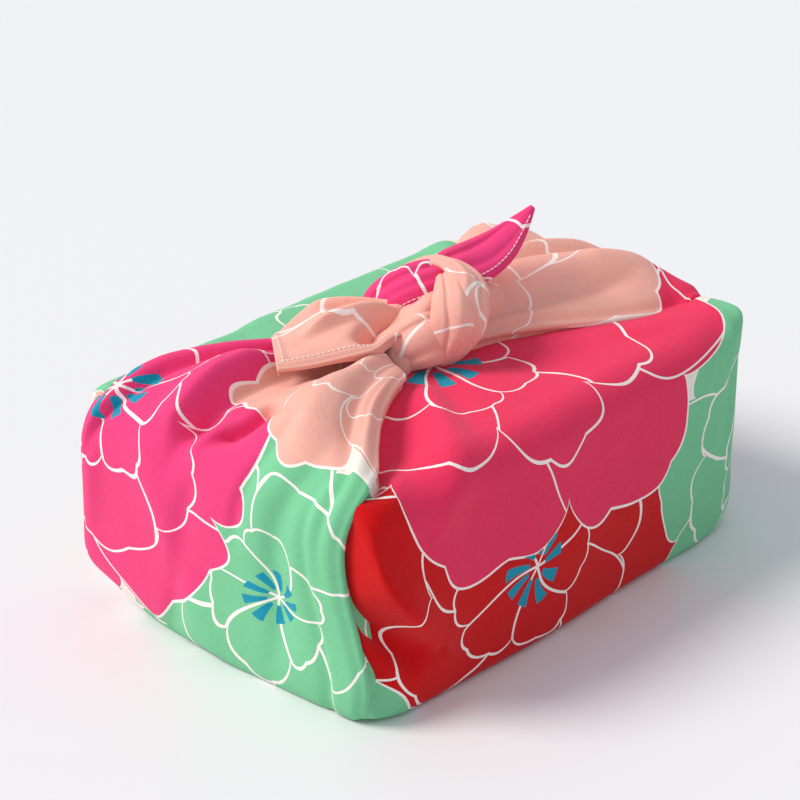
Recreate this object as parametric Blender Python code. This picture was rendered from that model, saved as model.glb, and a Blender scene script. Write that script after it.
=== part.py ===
"""Furoshiki wrap: one square of printed cotton folded round a box and tied on top of it.

Metres, +Z up. The origin is the middle of the flat bottom. The tie runs along X: the cloth's left and right corners
rise over the box's short ends and are knotted on top, and its front corner (-Y) and back corner (+Y) lie folded
over the top beneath them. The wrap is one piece of cloth, so it is one solid.
"""

import math
from collections import namedtuple

import bmesh
import bpy
from mathutils import Vector

MM = 0.001

# Driving sizes, in millimetres: the box that the cloth was folded round, and how the cloth rounds it.
BOX_LENGTH = 228.0
BOX_WIDTH = 154.0
BOX_HEIGHT = 95.0
FOOT_RADIUS = 5.0
BROW_RADIUS = 13.0
SIDE_BULGE = 2.5
TOP_CROWN = 1.5
EDGE_TURN = 2.0
UNDERCUT = 0.1
PLEAT_FADE = 0.25
FLOOR_GAP = 0.4

# How finely the shapes are cut, and how far along a fold, in rows, its direction is looked up.
FLOOR_STEPS = 8
CORNER_STEPS = 4
SIDE_STEPS = 9
TOP_STEPS = 16
PANEL_STEPS = 26
ROW_STEPS = 2
BAND_SIDES = 14
LOOK = 0.15

COTTON_ROSE = (0.80, 0.07, 0.16, 1.0)
COTTON_ROUGHNESS = 0.85

# Cross-sections of the wrapped box along its length. near_in and far_in: how far its sides towards -Y and +Y, and
# half as much of its top, are drawn in there. near_lift and far_lift: how far its bottom edges are lifted.
Section = namedtuple("Section", "x near_in far_in near_lift far_lift")
SECTIONS = [
    Section(-114.0, 12.0, 4.0, 8.0, 16.0),
    Section(-113.0, 8.5, 0.0, 4.5, 13.0),
    Section(-110.5, 6.5, -3.0, 2.0, 10.0),
    Section(-106.0, 5.0, -3.5, 0.4, 7.0),
    Section(-100.0, 3.5, -3.0, 0.0, 4.0),
    Section(-92.0, 2.5, -2.0, 0.0, 1.5),
    Section(-80.0, 1.5, -1.5, 0.0, 0.0),
    Section(-62.0, 0.5, -1.5, 0.0, 0.0),
    Section(-42.0, -1.0, -1.5, 0.0, 0.0),
    Section(-21.0, -2.0, -2.0, 0.0, 0.0),
    Section(0.0, -2.0, -2.0, 0.0, 0.0),
    Section(21.0, -1.5, -2.0, 0.0, 0.0),
    Section(42.0, -1.5, -1.0, 0.0, 0.0),
    Section(62.0, -2.0, 0.0, 0.0, 0.0),
    Section(80.0, -2.5, 1.0, 0.0, 0.0),
    Section(92.0, -1.5, 2.0, 0.0, 0.0),
    Section(100.0, 0.0, 3.0, 1.0, 0.0),
    Section(106.0, 2.0, 4.5, 3.0, 0.4),
    Section(110.5, 3.5, 6.0, 5.0, 2.0),
    Section(113.0, 5.5, 8.5, 7.0, 4.5),
    Section(114.0, 8.0, 12.0, 10.0, 8.0),
]

# Soft folds in the cloth on the box, from one point to another. along: X. around: distance round the box from the
# middle of its bottom, negative to the front. reach: half-width. rise: height, negative for a trough.
Crease = namedtuple("Crease", "along1 around1 along2 around2 reach rise")
CREASES = [
    Crease(-116, -142, -68, -92, 8, 3.2),
    Crease(-112, -112, -86, -84, 9, -2.0),
    Crease(-34, -214, -80, -154, 8, 3.2),
    Crease(-58, -206, -104, -172, 12, -4.5),
    Crease(116, -188, 104, -158, 10, 6.0),
    Crease(62, -222, 110, -196, 9, -2.4),
    Crease(40, -208, 100, -178, 8, 1.6),
    Crease(116, 142, 70, 96, 9, 3.0),
    Crease(60, 214, 92, 160, 9, 3.0),
    Crease(84, 206, 108, 176, 10, -3.5),
    Crease(-70, 214, -40, 176, 11, -2.0),
]

# The cloth drawn up over a short end of the box and on to the knot: a row for each step from the bottom edge up.
# away: distance from the middle of the box. near and far: its folded edges, towards -Y and towards +Y.
# tilt: how much higher than the rest its far edge is.
Row = namedtuple("Row", "away height near far thick tilt")
LEFT_END = [
    Row(107.0, 3.0, -62, 66, 4, 8),
    Row(112.0, 7.0, -67, 77, 6, 7),
    Row(116.5, 20.0, -69, 81, 9, 3),
    Row(118.5, 38.0, -64.5, 81, 11, 0),
    Row(119.5, 58.0, -59.5, 79, 12, 0),
    Row(119.5, 74.0, -58.5, 78, 12, 0),
    Row(117.0, 88.0, -61, 74, 12, 0),
    Row(110.0, 99.0, -63, 67, 15, 0),
    Row(98.0, 105.5, -57, 61, 18, 0),
    Row(84.0, 108.0, -46, 52, 20, 0),
    Row(68.0, 109.0, -34, 39, 21, 0),
    Row(52.0, 109.0, -25, 25, 21, 0),
    Row(36.0, 108.0, -18, 14, 20, 0),
]
RIGHT_END = [
    Row(107.0, 3.0, -60, 62, 4, 0),
    Row(112.0, 7.0, -64, 67, 6, 0),
    Row(116.5, 20.0, -67, 69, 9, 0),
    Row(118.5, 38.0, -66, 64.5, 11, 0),
    Row(119.5, 58.0, -64, 60, 12, 0),
    Row(119.5, 74.0, -61, 60, 12, 0),
    Row(117.0, 88.0, -57, 63, 12, 0),
    Row(110.0, 99.0, -53, 66, 15, 0),
    Row(98.0, 105.0, -50, 63, 18, 0),
    Row(80.0, 109.0, -46, 52, 21, 0),
    Row(60.0, 110.5, -38, 38, 23, 0),
    Row(40.0, 112.0, -27, 23, 24, 0),
    Row(22.0, 112.0, -19, 14, 22, 0),
]

# Pleats in that cloth, each from one row to another. across: 0 at the near folded edge, 1 at the far one.
# reach: half-width in millimetres. rise: height, negative for a trough.
Pleat = namedtuple("Pleat", "row1 across1 row2 across2 reach rise")
LEFT_PLEATS = [
    Pleat(10.5, 0.66, 7.0, 0.57, 7, -7.0),
    Pleat(10.5, 0.46, 7.0, 0.41, 6, -6.0),
    Pleat(11.5, 0.80, 6.0, 0.86, 4, -4.5),
    Pleat(12.0, 0.93, 5.0, 0.95, 5, 2.5),
    Pleat(8.0, 0.15, 3.0, 0.25, 7, -3.0),
    Pleat(12.0, 0.18, 7.5, 0.09, 4, -4.0),
    Pleat(12.0, 0.30, 8.0, 0.28, 8, 3.0),
    Pleat(5.5, 0.72, 1.5, 0.52, 10, 2.0),
]
RIGHT_PLEATS = [
    Pleat(12.0, 0.20, 6.5, 0.16, 9, 3.0),
    Pleat(12.0, 0.42, 7.0, 0.37, 6, -5.0),
    Pleat(12.0, 0.56, 7.0, 0.53, 7, 3.0),
    Pleat(12.0, 0.72, 6.5, 0.72, 6, -5.0),
    Pleat(12.0, 0.90, 6.0, 0.94, 6, 3.0),
    Pleat(7.0, 0.40, 2.0, 0.42, 9, -2.5),
]

# The left corner, which lies spread over the left end's cloth, from its hem in to the knot: its two long edges.
Edges = namedtuple("Edges", "x1 y1 z1 x2 y2 z2 thick")
LEFT_CORNER = [
    Edges(-79, 8, 112, -59, 30.5, 111.5, 3.5),
    Edges(-68, 2.5, 111.5, -51, 31, 114, 4),
    Edges(-56, -3, 112, -42, 32, 116, 4.5),
    Edges(-44, -8, 113, -33, 31, 118, 5.5),
    Edges(-34, -8, 114.5, -26, 23, 119, 6),
    Edges(-25, -8, 115.5, -19, 14, 118.5, 6),
    Edges(-16, -8, 116, -13, 8, 118, 6),
]
CORNER_PLEATS = [
    Pleat(5.5, 0.45, 2.0, 0.35, 4, 3.0),
    Pleat(5.0, 0.15, 3.0, 0.12, 4, -3.0),
    Pleat(5.5, 0.80, 3.0, 0.70, 4, -2.5),
]

# The knot's turns: a row for each station along a gathered band of cloth. wide and thick: the band's section.
Station = namedtuple("Station", "x y z wide thick")
KNOT_MIDDLE = (-7, -8, 115)
TOWARDS_FRONT = (-0.5, -0.45, 0.75)
INNER_TURN = [
    Station(34, -5, 105, 20, 20),
    Station(22, -5, 108, 20, 24),
    Station(8, -6, 110, 20, 26),
    Station(-6, -7, 110, 20, 26),
    Station(-18, -6, 107, 20, 23),
    Station(-30, -3, 102, 22, 17),
    Station(-42, 0, 98, 22, 14),
]
LOWER_TURN = [
    Station(-37, 7, 99, 14, 9),
    Station(-32, -3, 105, 18, 11),
    Station(-25, -11, 109, 20, 11),
    Station(-17, -16, 111, 20, 10),
    Station(-8, -17, 111, 18, 9),
    Station(4, -14, 111, 14, 7),
]
OUTER_TURN = [
    Station(-6, -4, 100, 12, 7),
    Station(-12, -14, 102, 14, 7),
    Station(-12, -20, 109, 18, 7),
    Station(-8, -22, 117, 21, 7),
    Station(-3, -19, 124, 20, 7),
    Station(2, -11, 129, 16, 7),
    Station(5, -2, 129, 14, 6),
    Station(4, 7, 124, 12, 6),
    Station(0, 10, 115, 10, 6),
]
RIGHT_CORNER = [
    Station(-14, 14, 107, 12, 8),
    Station(-16, 13, 115, 15, 9),
    Station(-14, 8, 121, 17, 10),
    Station(-7, 3, 125, 17, 10),
    Station(2, 0, 126, 16, 10),
    Station(12, -2, 127, 16, 9),
    Station(22, -5, 128, 19, 7),
    Station(32, -7, 131, 17, 5.5),
    Station(42, -8, 136, 11, 4.5),
    Station(52, -9, 143, 2.5, 3),
]


def empty_scene():
    for item in list(bpy.data.objects):
        bpy.data.objects.remove(item)


def cotton():
    material = bpy.data.materials.new("cotton")
    material.use_nodes = True
    shader = material.node_tree.nodes["Principled BSDF"]
    shader.inputs["Base Color"].default_value = COTTON_ROSE
    shader.inputs["Roughness"].default_value = COTTON_ROUGHNESS
    shader.inputs["Metallic"].default_value = 0.0
    return material


def between(rows, place):
    """The smooth curve through a table's rows, at a place counted in rows."""
    last = len(rows) - 1
    start = min(int(place), last - 1)
    t = place - start
    before, here, there, after = (rows[min(max(start + k, 0), last)] for k in (-1, 0, 1, 2))
    values = []
    for a, b, c, d in zip(before, here, there, after):
        bend = 2 * b + (c - a) * t + (2 * a - 5 * b + 4 * c - d) * t * t + (3 * b - a - 3 * c + d) * t ** 3
        values.append(0.5 * bend)
    return type(here)(*values)


def soft(distance, reach):
    """A fold's rounded profile: 1 on its line and 0 a good way off."""
    return math.exp(-((distance / reach) ** 2))


def from_line(point, start, end):
    """How far a flat point is from a line, and where beside it the point lies, from 0 to 1."""
    run = end - start
    share = min(max((point - start).dot(run) / run.length_squared, 0.0), 1.0)
    return (point - start - run * share).length, share


def shell(name, loops):
    """A closed solid through a row of loops that have as many points each."""
    mesh = bpy.data.meshes.new(name)
    body = bmesh.new()
    rings = [[body.verts.new(point * MM) for point in loop] for loop in loops]
    count = len(rings[0])
    for ring, following in zip(rings, rings[1:]):
        for i in range(count):
            j = (i + 1) % count
            body.faces.new((ring[i], ring[j], following[j], following[i]))
    body.faces.new(rings[0])
    body.faces.new(rings[-1])
    bmesh.ops.recalc_face_normals(body, faces=body.faces)
    body.to_mesh(mesh)
    body.free()
    mesh.shade_smooth()
    solid = bpy.data.objects.new(name, mesh)
    bpy.context.collection.objects.link(solid)
    return solid


def arc(centre_y, centre_z, radius, first, last, steps):
    turns = (math.radians(first + (last - first) * i / steps) for i in range(steps))
    return [(centre_y + radius * math.cos(a), centre_z + radius * math.sin(a)) for a in turns]


def line(y1, z1, y2, z2, steps):
    return [(y1 + (y2 - y1) * i / steps, z1 + (z2 - z1) * i / steps) for i in range(steps)]


def half_round(drawn_in, lifted):
    """Half of a cross-section, towards -Y. Only the outer part of its bottom is lifted."""
    half = BOX_WIDTH / 2 - drawn_in
    top = BOX_HEIGHT - 0.5 * max(drawn_in, 0.0)
    foot, brow = FOOT_RADIUS, BROW_RADIUS
    bottom = line(0, 0, -(half - foot), 0, FLOOR_STEPS)
    return (
        [(y, lifted * (y / half) ** 4) for y, z in bottom]
        + arc(-(half - foot), lifted + foot, foot, 270, 180, CORNER_STEPS)
        + line(-half, lifted + foot, -half, top - brow, SIDE_STEPS)
        + arc(-(half - brow), top - brow, brow, 180, 90, CORNER_STEPS)
        + line(-(half - brow), top, 0, top, TOP_STEPS // 2)
    )


def round_the_box(section):
    """One cross-section, from the middle of the bottom towards -Y, over the top and back."""
    near = half_round(section.near_in, section.near_lift)
    far = half_round(section.far_in, section.far_lift)
    middle = (0, (near[-1][1] + far[-1][1]) / 2)
    return near + [middle] + [(-y, z) for y, z in reversed(far[1:])]


def wrapped_box():
    """The cloth round the box: a tube along X, with its soft folds, closed by its two short ends."""
    loops = []
    for section in SECTIONS:
        outline = round_the_box(section)
        middle = len(outline) // 2
        around = [0.0]
        for (y1, z1), (y2, z2) in zip(outline, outline[1:]):
            around.append(around[-1] + math.hypot(y2 - y1, z2 - z1))
        girth = around[-1] + math.hypot(outline[-1][0] - outline[0][0], outline[-1][1] - outline[0][1])
        loop = []
        for i, (y, z) in enumerate(outline):
            before, after = outline[i - 1], outline[(i + 1) % len(outline)]
            out = Vector((0, before[1] - after[1], after[0] - before[0])).normalized()
            place = -around[i] if i <= middle else girth - around[i]
            upright = max(0.0, min(1.0, z / BOX_HEIGHT))
            swell = SIDE_BULGE * math.sin(math.pi * upright) * abs(out.y) + TOP_CROWN * max(out.z, 0.0)
            for crease in CREASES:
                start, end = Vector(crease[0:2]), Vector(crease[2:4])
                far, share = from_line(Vector((section.x, place)), start, end)
                swell += crease.rise * soft(far, crease.reach) * (0.5 + 0.5 * math.sin(math.pi * share))
            point = Vector((section.x, y, z)) + out * swell
            point.z = max(point.z, 0.0)
            loop.append(point)
        loops.append(loop)
    return shell("furoshiki_wrap", loops)


def drawn_up(rows):
    """The two edges of the cloth drawn up over an end, which is modelled at -X."""
    return [Edges(-r.away, r.near, r.height, -r.away, r.far, r.height + r.tilt, r.thick) for r in rows]


def folded(name, rows, pleats, side=-1):
    """A flat fold of cloth between its two long edges, which are folded under. side: 1 for one at +X."""
    loops = []
    last = (len(rows) - 1) * ROW_STEPS
    for step in range(last + 1):
        place = step / ROW_STEPS
        row = between(rows, place)
        near, far = Vector(row[0:3]), Vector(row[3:6])
        ahead = between(rows, min(place + LOOK, len(rows) - 1))
        behind = between(rows, max(place - LOOK, 0))
        along = Vector(ahead[0:3]) + Vector(ahead[3:6]) - Vector(behind[0:3]) - Vector(behind[3:6])
        out = along.cross(far - near).normalized()
        wide = (far - near).length
        inward = (far - near) * (UNDERCUT * row.thick / wide)
        outer = []
        for i in range(PANEL_STEPS + 1):
            across = i / PANEL_STEPS
            lift = EDGE_TURN * math.sin(math.pi * across)
            for pleat in pleats:
                share = (place - pleat.row1) / (pleat.row2 - pleat.row1)
                fade = 1.0 if 0 <= share <= 1 else soft(min(abs(share), abs(share - 1)), PLEAT_FADE)
                centre = pleat.across1 + (pleat.across2 - pleat.across1) * share
                lift += pleat.rise * fade * soft((across - centre) * wide, pleat.reach)
            turned = EDGE_TURN * (soft(across * wide, EDGE_TURN) + soft((1 - across) * wide, EDGE_TURN))
            outer.append(near.lerp(far, across) + out * (lift - turned))
        inner = [point - out * row.thick for point in outer[::-2]]
        inner[0] -= inward
        inner[-1] += inward
        loops.append([Vector((side * -p.x, p.y, max(p.z, FLOOR_GAP))) for p in outer + inner])
    return shell(name, loops)


def band(name, stations, facing=None):
    """A gathered band of cloth through its stations, with an oval section."""
    loops = []
    last = (len(stations) - 1) * ROW_STEPS
    for step in range(last + 1):
        place = step / ROW_STEPS
        here = between(stations, place)
        ahead = between(stations, min(place + LOOK, len(stations) - 1))
        behind = between(stations, max(place - LOOK, 0))
        centre = Vector(here[0:3])
        along = (Vector(ahead[0:3]) - Vector(behind[0:3])).normalized()
        out = Vector(facing) if facing else centre - Vector(KNOT_MIDDLE)
        out = (out - along * out.dot(along)).normalized()
        across = along.cross(out)
        loop = []
        for i in range(BAND_SIDES):
            turn = 2 * math.pi * i / BAND_SIDES
            side = across * (here.wide / 2 * math.cos(turn))
            loop.append(centre + side + out * (here.thick / 2 * math.sin(turn)))
        loops.append(loop)
    return shell(name, loops)


def join_cloth(wrap, pieces):
    """The folds are all the same cloth, so they are made one solid."""
    for piece in pieces:
        piece.hide_render = True
        piece.display_type = "WIRE"
        union = wrap.modifiers.new(piece.name, "BOOLEAN")
        union.operation = "UNION"
        union.object = piece


def main():
    empty_scene()
    wrap = wrapped_box()
    wrap.data.materials.append(cotton())
    join_cloth(
        wrap,
        [
            folded("left_end", drawn_up(LEFT_END), LEFT_PLEATS),
            folded("right_end", drawn_up(RIGHT_END), RIGHT_PLEATS, side=1),
            folded("left_corner", LEFT_CORNER, CORNER_PLEATS),
            band("inner_turn", INNER_TURN, (0, 0, 1)),
            band("lower_turn", LOWER_TURN, (-0.4, -0.8, 0.4)),
            band("outer_turn", OUTER_TURN),
            band("right_corner", RIGHT_CORNER, TOWARDS_FRONT),
        ],
    )


main()
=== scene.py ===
"""Furoshiki wrap: the printed cotton cloth, its folds, its knot and its hems, laid over the solid."""

import math
from collections import namedtuple

import bmesh
import bpy
from mathutils import Matrix, Vector, noise


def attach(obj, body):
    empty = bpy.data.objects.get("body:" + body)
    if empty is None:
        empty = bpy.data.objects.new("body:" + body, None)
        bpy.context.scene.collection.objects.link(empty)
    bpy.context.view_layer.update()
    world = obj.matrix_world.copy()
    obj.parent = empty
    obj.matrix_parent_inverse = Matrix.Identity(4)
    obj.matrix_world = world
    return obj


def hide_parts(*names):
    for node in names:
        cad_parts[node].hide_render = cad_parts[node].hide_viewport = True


bl_info = {
    "name": "Furoshiki Wrap",
    "version": (1, 0, 0),
    "blender": (4, 5, 0),
    "location": "3D View > Sidebar > Furoshiki",
    "description": "Builds a square of printed cotton folded round a box and tied on top",
    "category": "Object",
}

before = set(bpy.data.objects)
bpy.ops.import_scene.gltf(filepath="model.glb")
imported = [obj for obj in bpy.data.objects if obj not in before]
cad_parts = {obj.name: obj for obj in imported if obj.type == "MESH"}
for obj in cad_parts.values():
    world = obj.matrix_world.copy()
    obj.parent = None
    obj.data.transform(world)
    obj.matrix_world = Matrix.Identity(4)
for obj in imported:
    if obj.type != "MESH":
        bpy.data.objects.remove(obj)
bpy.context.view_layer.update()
NODE = "furoshiki_wrap"
MM = 0.001

# How the cloth rounds the box, in millimetres, as in the solid.
FOOT_RADIUS = 5.0
BROW_RADIUS = 13.0
SIDE_BULGE = 2.5
TOP_CROWN = 1.5

# How far past its ends a pleat fades, against its length, and how far ahead and behind, in rows, a strip's
# direction is read.
PLEAT_FADE = 0.25
LOOK = 0.15

# How finely the cloth is cut.
FLOOR_STEPS = 10
FOOT_STEPS = 7
SIDE_STEPS = 42
BROW_STEPS = 12
TOP_STEPS = 36
SECTION_STEPS = 10
TUCK_STEPS = 8
ACROSS_STEPS = 110
LIP_STEPS = 7
WALL_STEPS = 7
ROW_STEPS = 16
BAND_STEPS = 14
BAND_SIDES = 72

# The share of the way in that the box cloth is drawn behind the cloth over the ends, and the cloth that the
# whole way takes.
TUCK = 0.25
TUCK_CLOTH = 60.0

# Under the end cloths the box cloth lies lower by SINK, and by SINK_MORE more over the SINK_OVER from SINK_FROM
# outwards. From their edges in, it goes down within SINK_EASE.
SINK = 4.0
SINK_MORE = 6.0
SINK_FROM = 88.0
SINK_OVER = 18.0
SINK_EASE = 8.0

# End cloth higher than this lies over the box's top.
OVER_THE_TOP = 80.0

# How much the box cloth faces up where it leaves the floor, and where it counts as the top.
OFF_THE_FLOOR = -0.3
ON_TOP = 0.5

# The cloth lies a little over the solid's faceted surface.
CLOTH_LIFT = 0.3
# Small unevenness of hand-folded cloth: its height and its length, in millimetres.
RUMPLE_HEIGHT = 0.55
RUMPLE_LENGTH = 26.0


def table(kind, rows):
    """A table of shapes: each row's numbers under the names of its kind."""
    return [kind(*row) for row in rows]


Section = namedtuple("Section", "x near_in far_in near_lift far_lift")
SECTIONS = table(Section, [
    (-114, 12, 4, 8, 16),
    (-113, 8.5, 0, 4.5, 13),
    (-110.5, 6.5, -3, 2, 10),
    (-106, 5, -3.5, 0.4, 7),
    (-100, 3.5, -3, 0, 4),
    (-92, 2.5, -2, 0, 1.5),
    (-80, 1.5, -1.5, 0, 0),
    (-62, 0.5, -1.5, 0, 0),
    (-42, -1, -1.5, 0, 0),
    (-21, -2, -2, 0, 0),
    (0, -2, -2, 0, 0),
    (21, -1.5, -2, 0, 0),
    (42, -1.5, -1, 0, 0),
    (62, -2, 0, 0, 0),
    (80, -2.5, 1, 0, 0),
    (92, -1.5, 2, 0, 0),
    (100, 0, 3, 1, 0),
    (106, 2, 4.5, 3, 0.4),
    (110.5, 3.5, 6, 5, 2),
    (113, 5.5, 8.5, 7, 4.5),
    (114, 8, 12, 10, 8),
])

# Soft folds on the box, from one point to another. along: X. around: distance round the box from the middle
# of its bottom, negative to the front. reach: half-width. rise: height, negative for a trough. lean: positive
# for a fold that falls away steeply on the left of its way.
Crease = namedtuple("Crease", "along1 around1 along2 around2 reach rise lean")
CREASES = table(Crease, [
    (-118, -134, -86, -102, 9, 6.5, 0.85),
    (-119, -118, -97, -99, 6.5, -12, 0),
    (-115, -108, -109, -76, 5.5, -5, 0),
    (-110, -157, -84, -184, 5, 3.4, -0.3),
    (-103, -170, -88, -188, 5, -4.5, 0),
    (-34, -214, -80, -154, 8, 4, 0.2),
    (-58, -206, -104, -172, 12, -5.8, 0.2),
    (-116, -186, -104, -170, 7, -3.5, 0.3),
    (-20, -226, -46, -186, 6, -2, 0.4),
    (6, -230, 14, -192, 9, -1.4, 0.3),
    (116, -188, 104, -158, 10, 3.5, 0),
    (62, -222, 110, -196, 9, -2.4, 0.2),
    (40, -208, 100, -178, 8, 1.6, 0.2),
    (108, -172, 92, -120, 6, -1.6, 0.4),
    (116, 142, 70, 96, 9, 3, 0.3),
    (60, 214, 92, 160, 9, 3, 0.3),
    (84, 206, 108, 176, 10, -3.5, 0),
    (-70, 214, -40, 176, 11, -2, 0.3),
    (-112, 150, -70, 120, 7, -2.2, 0.4),
])

# The front's top right corner stands out, to the right (rise) and to the front (forward), and the edge below
# it is drawn in. tall, wide: how far that reaches round the box and along X.
Puff = namedtuple("Puff", "around tall x wide rise forward")
PUFFS = [Puff(-166, 9, 116, 11, 2.5, 10.0), Puff(-112, 30, 116, 9, -4.0, -1.5)]

# The cloth drawn up over a short end of the box and on to the knot.
Row = namedtuple("Row", "away height near far thick tilt")
LEFT_END = table(Row, [
    (113.5, 1, -65, 76, 4, 13),
    (116.5, 7, -67, 80, 6, 10),
    (118.2, 20, -69, 82, 9, 3),
    (118.5, 38, -64.5, 81, 11, 0),
    (119.5, 58, -59.5, 79, 12, 0),
    (119.5, 74, -58.5, 78, 12, 0),
    (117, 88, -61, 74, 12, 0),
    (110, 99, -63, 67, 15, 0),
    (98, 105.5, -57, 61, 18, 0),
    (84, 108, -46, 52, 20, 0),
    (68, 109, -34, 39, 21, 0),
    (52, 109, -25, 25, 21, 0),
    (36, 108, -18, 14, 20, 0),
])
RIGHT_END = table(Row, [
    (107, 3, -60, 62, 4, 0),
    (112, 7, -64, 67, 6, 0),
    (116.5, 20, -67, 69, 9, 0),
    (118.5, 38, -66, 64.5, 11, 0),
    (119.5, 58, -64, 60, 12, 0),
    (119.5, 74, -61, 60, 12, 0),
    (117, 88, -57, 63, 12, 0),
    (110, 99, -53, 66, 15, 0),
    (98, 105, -50, 63, 18, 0),
    (80, 109, -46, 52, 21, 0),
    (60, 110.5, -38, 38, 23, 0),
    (40, 112, -27, 23, 24, 0),
    (22, 113, -19, 14, 22, 0),
    (8, 113, -15, 9, 20, 0),
])

# Pleats, each from one row to another. across: 0 at the near folded edge, 1 at the far one. lean: positive
# for a pleat that falls away steeply towards the far edge.
Pleat = namedtuple("Pleat", "row1 across1 row2 across2 reach rise lean")
LEFT_PLEATS = table(Pleat, [
    (9.2, 0.73, 6.9, 0.69, 8, 5, -0.7),
    (10.6, 0.66, 6.9, 0.63, 6.5, -9.5, 0.6),
    (10.2, 0.50, 7.6, 0.55, 10, -6, 0.5),
    (8.2, 0.47, 6.8, 0.51, 5.5, -8.5, 0.6),
    (11.4, 0.83, 6.2, 0.93, 3.2, -4.6, 0.6),
    (12, 0.93, 5, 0.95, 5, 2.5, 0),
    (8, 0.15, 3, 0.25, 7, -3, 0.3),
    (12, 0.18, 7.5, 0.09, 4, -4, -0.3),
    (12, 0.30, 8, 0.28, 8, 3, 0),
    (7.6, 0.575, 6.2, 0.565, 3.5, 2, 0),
    (12.8, 0.62, 10.9, 0.52, 8, -7, 0),
    (7.6, 0.32, 4.8, 0.36, 4, -1.8, 0.4),
    (5.5, 0.72, 1.5, 0.52, 10, 2, 0),
    (6, 0.12, 1, 0.10, 3, -1.6, -0.5),
    (11.5, 0.07, 6, 0.06, 2.2, -1.4, -0.5),
    (4.5, 0.55, 1.2, 0.66, 6, -1.5, 0.3),
])
RIGHT_PLEATS = table(Pleat, [
    (12.6, 0.70, 8.4, 0.19, 12, 8.5, 0.3),
    (9, 0.24, 7.6, 0.15, 7, 2.5, 0),
    (12.6, 0.88, 7.8, 0.29, 6, -3, 0),
    (11.5, 0.80, 7.6, 0.42, 6, 5, 0.4),
    (11, 0.94, 7.8, 0.62, 5, -3.5, 0),
    (11.5, 0.97, 8, 0.78, 6, 2, 0.3),
    (13.5, 0.22, 9.6, 0.15, 3, -2.4, 0.4),
    (12, 0.34, 9.4, 0.16, 6, -1.8, 0.3),
    (7, 0.40, 2, 0.42, 9, -2.5, 0.3),
    (6.4, 0.66, 2.5, 0.60, 7, -2, 0.3),
])

# The left corner, spread over the left end's cloth, from its hem in to the knot: its two long edges.
Edges = namedtuple("Edges", "x1 y1 z1 x2 y2 z2 thick")
LEFT_CORNER = table(Edges, [
    (-79, 8, 112, -59, 30.5, 111.5, 2.2),
    (-68, 2.5, 111.5, -51, 31, 114, 2.6),
    (-56, -3, 112, -42, 32, 116, 3.2),
    (-44, -8, 113, -33, 31, 118, 5.5),
    (-34, -8, 114.5, -26, 23, 119, 6),
    (-26, -8, 115, -19, 12, 119, 6),
    (-19, -7, 115, -15, 2, 118.5, 5),
    (-13, -5, 113, -12, -4, 115, 4),
])
CORNER_PLEATS = table(Pleat, [
    (6, 0.50, 2.4, 0.54, 4.5, 5.5, -0.65),
    (5.8, 0.38, 3.5, 0.24, 5, -13, 0.3),
    (6, 0.78, 3.6, 0.80, 3.5, -3, 0.4),
    (6, 0.92, 3, 0.92, 3, 1.6, 0),
    (4.4, 0.10, 1.2, 0.22, 5, 1.4, 0),
])

# The knot's turns: a row for each station along a gathered band of cloth. wide, thick: its section.
Station = namedtuple("Station", "x y z wide thick")
KNOT_HEART = (2, -6, 112)
TOWARDS_FRONT = (-0.5, -0.45, 0.75)
INNER_TURN = table(Station, [
    (34, -4, 105, 18, 18),
    (22, -4, 108, 20, 22),
    (8, -5, 111, 20, 25),
    (-6, -5, 111, 20, 25),
    (-18, -5, 107, 19, 21),
    (-30, -2, 97, 20, 11),
    (-42, 0, 92, 20, 9),
])
LOWER_TURN = table(Station, [
    (-38, 10, 95, 12, 8),
    (-33, 5, 97, 14, 9),
    (-28, 0, 101, 17, 11),
    (-24, -7, 106, 20, 13),
    (-19, -12, 109, 22, 14),
    (-12, -14, 109, 21, 13),
    (-4, -14, 108, 16, 10),
    (5, -11, 106, 10, 7),
])
OUTER_TURN = table(Station, [
    (-9, -9, 96, 7, 7),
    (-9, -16, 101.5, 12, 9),
    (-8, -20.5, 108, 15.5, 9.5),
    (-5, -22, 115, 18.5, 10),
    (-1, -19.5, 122, 19.5, 10),
    (4, -15, 127, 17.5, 9),
    (6.5, -8, 130, 14, 6),
    (6, 0, 131, 10, 4),
    (4, 8, 129, 6, 3),
    (1, 15, 125, 3, 2.6),
    (-2, 20, 119, 3, 2.4),
])
OVER_TURN = table(Station, [
    (-10, -12, 97, 4, 4),
    (-13, -17, 101, 6, 5),
    (-14, -20, 108, 11, 6),
    (-12.5, -21.5, 116, 17, 7),
    (-9.5, -19, 123, 16, 7),
    (-4.5, -14, 127, 13, 6),
    (0, -9, 128, 10, 5),
    (3, -5, 126, 8, 4),
    (4, 0, 122, 6, 3),
])
RIGHT_CORNER = table(Station, [
    (-12, 16, 103, 12, 8),
    (-15, 15, 110, 15, 9),
    (-15, 12, 117, 17, 10),
    (-11, 7, 122, 18, 11),
    (-5, 2, 125, 18, 11),
    (3, -1, 126, 17, 10),
    (12, -2, 127, 18, 9),
    (22, -5, 128, 19.5, 7),
    (32, -7, 131, 17, 5.5),
    (42, -8, 136, 11, 4.5),
    (52, -9, 143, 2.5, 3),
])

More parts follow.
